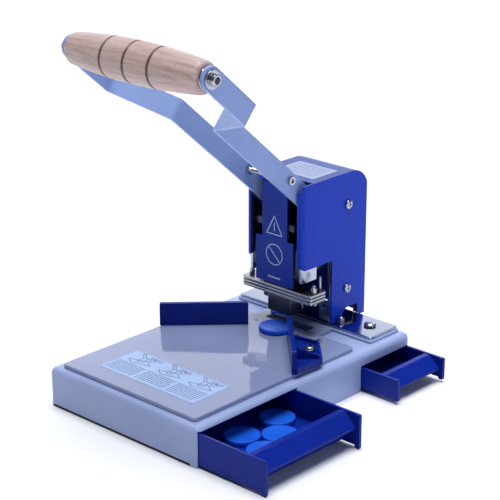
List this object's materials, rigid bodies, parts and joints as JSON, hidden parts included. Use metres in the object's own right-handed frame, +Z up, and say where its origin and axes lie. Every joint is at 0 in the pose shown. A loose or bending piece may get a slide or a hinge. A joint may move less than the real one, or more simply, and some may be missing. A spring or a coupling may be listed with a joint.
{
  "type": "corner rounder press",
  "caption": "Bench-top lever press that rounds paper corners: drawer base, work table with V fences, covered cam column, ram with blade, long wooden-grip lever.",
  "frame": {"origin": "centre of the base's footprint, on the bench surface", "axes": "+X towards the side the drawers open to, -Y towards the operator, +Z up"},
  "size_m": [0.237, 0.2619, 0.3117],
  "materials": {
    "pale_paint": "blue-grey powder coat",
    "gloss_paint": "glossy blue-grey enamel",
    "blue_paint": "satin blue powder coat",
    "navy_paint": "satin navy powder coat",
    "navy_plastic": "moulded navy plastic",
    "fence_plastic": "moulded blue plastic",
    "mat_plastic": "tough blue plastic",
    "black_rubber": "matt black sheet",
    "polished_steel": "polished",
    "plated_steel": "nickel plated",
    "dark_steel": "blackened steel",
    "beech": "lacquered beech"
  },
  "bodies": {
    "base": {"base_pad": "black_rubber", "base_shell": "pale_paint", "bed_plate": "polished_steel", "bed_riser": "pale_paint", "bed_screw_left": "plated_steel", "bed_screw_right": "plated_steel", "cap_screw_left": "plated_steel", "cap_screw_right": "plated_steel", "column_cover": "blue_paint", "cover_screw_left_lower": "plated_steel", "cover_screw_left_upper": "plated_steel", "cover_screw_right_lower": "plated_steel", "cover_screw_right_upper": "plated_steel", "cutting_mat": "mat_plastic", "drawer_divider_front": "pale_paint", "drawer_divider_rear": "pale_paint", "fence_left": "fence_plastic", "fence_right": "fence_plastic", "fence_screw_left": "plated_steel", "fence_screw_right": "plated_steel", "frame_plate_left": "plated_steel", "frame_plate_right": "plated_steel", "large_drawer_stop": "pale_paint", "pivot_shaft": "dark_steel", "ram_guide": "dark_steel", "rear_stay": "plated_steel", "return_spring_left": "plated_steel", "return_spring_right": "plated_steel", "small_drawer_stop": "pale_paint", "table_screw_left": "plated_steel", "table_screw_right": "plated_steel", "work_table": "gloss_paint"},
    "lever": {"lever_arm_left": "pale_paint", "lever_arm_right": "pale_paint", "press_cam": "dark_steel", "cross_bolt": "plated_steel", "grip_rod": "plated_steel", "grip_washer_left": "plated_steel", "grip_washer_right": "plated_steel", "grip_bolt_left": "plated_steel", "grip_bolt_right": "plated_steel"},
    "grip": {"grip": "beech"},
    "ram": {"ram": "dark_steel", "ram_cover": "navy_paint", "head_plate": "plated_steel", "spacer_plate": "plated_steel", "punch_plate": "plated_steel", "head_bolt_left": "plated_steel", "head_bolt_right": "plated_steel", "head_pin_left": "plated_steel", "head_pin_right": "plated_steel", "blade_holder": "dark_steel", "corner_blade": "polished_steel"},
    "large_drawer": {"large_drawer": "navy_plastic", "spare_mat_1": "mat_plastic", "spare_mat_2": "mat_plastic", "spare_mat_3": "mat_plastic", "spare_mat_4": "mat_plastic"},
    "small_drawer": {"small_drawer": "navy_plastic"}
  },
  "joints": [
    {"name": "lever_swing", "type": "hinge", "parent": "base", "child": "lever", "pos_m": [0, 0.0731, 0.1444], "axis": [1, 0, 0], "range_deg": [0, 40], "stiffness_Nm_per_rad": 0.5, "springref_deg": -91.67},
    {"name": "grip_spin", "type": "hinge", "parent": "lever", "child": "grip", "pos_m": [0, -0.10131, 0.29495], "axis": [1, 0, 0], "continuous": true},
    {"name": "ram_slide", "type": "slide", "parent": "base", "child": "ram", "axis": [0, 0, -1], "range_m": [0, 0.0051], "stiffness_N_per_m": 800, "springref_m": -0.008, "deforming": ["return_spring_left", "return_spring_right"]},
    {"name": "large_drawer_slide", "type": "slide", "parent": "base", "child": "large_drawer", "axis": [1, 0, 0], "range_m": [-0.0665, 0.04]},
    {"name": "small_drawer_slide", "type": "slide", "parent": "base", "child": "small_drawer", "axis": [1, 0, 0], "range_m": [-0.038, 0.06]}
  ],
  "couplings": [
    {"joint": "ram_slide", "follows": "lever_swing", "m_per_rad": 0.0073}
  ]
}
